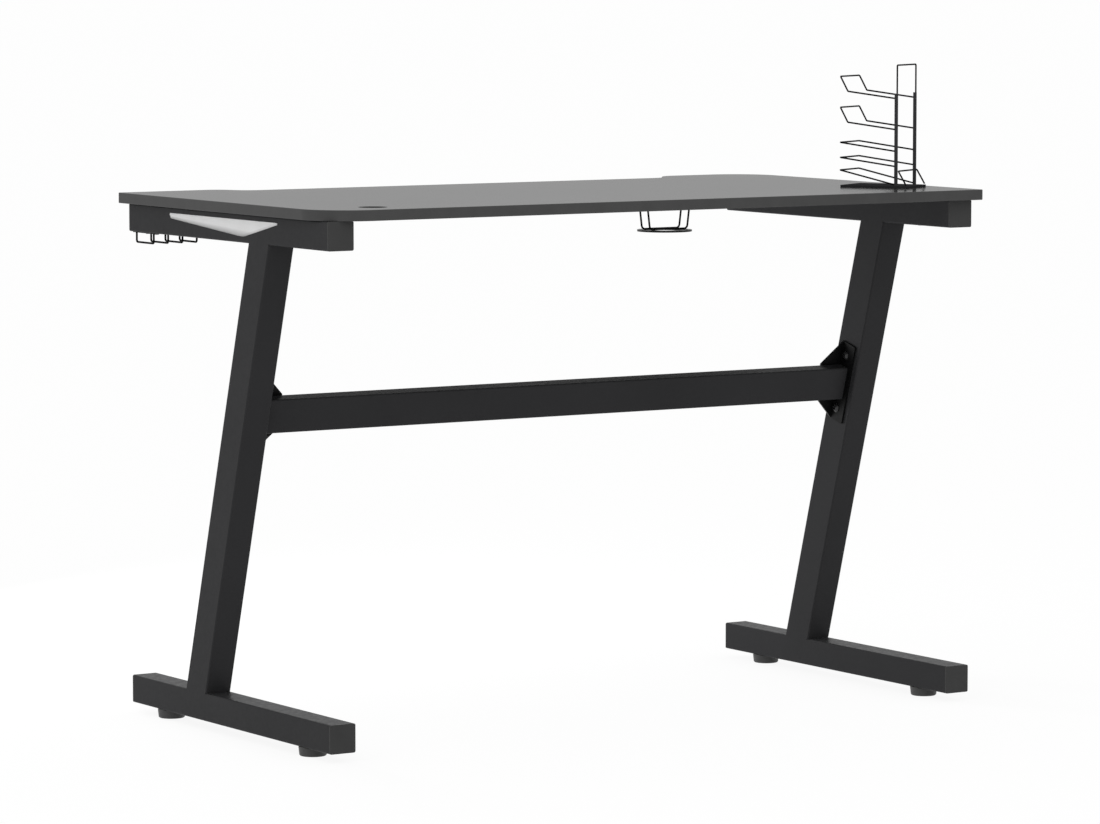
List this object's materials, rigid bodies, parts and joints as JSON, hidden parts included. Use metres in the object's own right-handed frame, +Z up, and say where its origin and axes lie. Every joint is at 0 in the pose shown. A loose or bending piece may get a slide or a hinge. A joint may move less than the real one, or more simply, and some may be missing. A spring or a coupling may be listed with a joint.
{
  "type": "gaming desk",
  "caption": "Gaming desk with Z-shaped tube frames, a recessed dark tabletop, lit wing windows, a wire cup holder, hooks and a lift-off controller stand.",
  "frame": {"origin": "on the floor, under the middle of the whole object's outline, cup holder included", "axes": "+Z up, +X along the width, to the right of a user who sits at the front, +Y from the front to the rear edge"},
  "size_m": [1.1, 0.7024, 0.9304],
  "materials": {
    "board": "satin dark grey laminate on particle board",
    "frame_paint": "smooth satin black powder coat",
    "bracket_paint": "satin black paint",
    "cap_plastic": "satin black moulded plastic",
    "pad_plastic": "matte dark grey moulded plastic",
    "diffuser": "translucent white moulded plastic",
    "strip": "white lamp strip board",
    "bush_rubber": "matte black rubber",
    "black_fastener": "black zinc plate",
    "steel": "bright zinc plate",
    "brass": "plain brass",
    "wire_paint": "satin black powder coat"
  },
  "bodies": {
    "desk": {"tabletop": "board", "right_apron": "frame_paint", "left_apron": "frame_paint", "right_leg": "frame_paint", "left_leg": "frame_paint", "right_foot": "frame_paint", "left_foot": "frame_paint", "crossbar": "frame_paint", "right_bar_bracket": "bracket_paint", "left_bar_bracket": "bracket_paint", "apron_end_caps": "cap_plastic", "foot_end_caps": "cap_plastic", "right_diffuser": "diffuser", "left_diffuser": "diffuser", "right_lamp_strip": "strip", "left_lamp_strip": "strip", "lead_bushes": "bush_rubber", "bracket_bolts": "black_fastener", "cup_screws": "black_fastener", "hook_screws": "black_fastener", "foot_nuts": "steel", "bracket_nuts": "steel", "top_bolts": "steel", "top_inserts": "brass", "cup_rim": "wire_paint", "cup_bails": "wire_paint", "cup_floor": "wire_paint", "cup_tab": "wire_paint", "hook_plate": "wire_paint", "hook_loops": "wire_paint"},
    "stand": {"stand_base": "wire_paint", "stand_inner_post": "wire_paint", "stand_outer_post": "wire_paint", "stand_top_loop": "wire_paint", "stand_brace": "wire_paint", "stand_upper_arm": "wire_paint", "stand_lower_arm": "wire_paint", "stand_upper_shelf": "wire_paint", "stand_middle_shelf": "wire_paint", "stand_lowest_shelf": "wire_paint"},
    "front_right_leveller": {"front_right_pad": "pad_plastic", "front_right_stud": "steel"},
    "front_left_leveller": {"front_left_pad": "pad_plastic", "front_left_stud": "steel"},
    "rear_right_leveller": {"rear_right_pad": "pad_plastic", "rear_right_stud": "steel"},
    "rear_left_leveller": {"rear_left_pad": "pad_plastic", "rear_left_stud": "steel"}
  },
  "joints": [
    {"name": "stand_lift", "type": "slide", "parent": "desk", "child": "stand", "axis": [0, 0, 1], "range_m": [0, 0.2]},
    {"name": "front_right_level", "type": "slide", "parent": "desk", "child": "front_right_leveller", "axis": [0, 0, -1], "range_m": [0, 0.012]},
    {"name": "front_left_level", "type": "slide", "parent": "desk", "child": "front_left_leveller", "axis": [0, 0, -1], "range_m": [0, 0.012]},
    {"name": "rear_right_level", "type": "slide", "parent": "desk", "child": "rear_right_leveller", "axis": [0, 0, -1], "range_m": [0, 0.012]},
    {"name": "rear_left_level", "type": "slide", "parent": "desk", "child": "rear_left_leveller", "axis": [0, 0, -1], "range_m": [0, 0.012]}
  ]
}
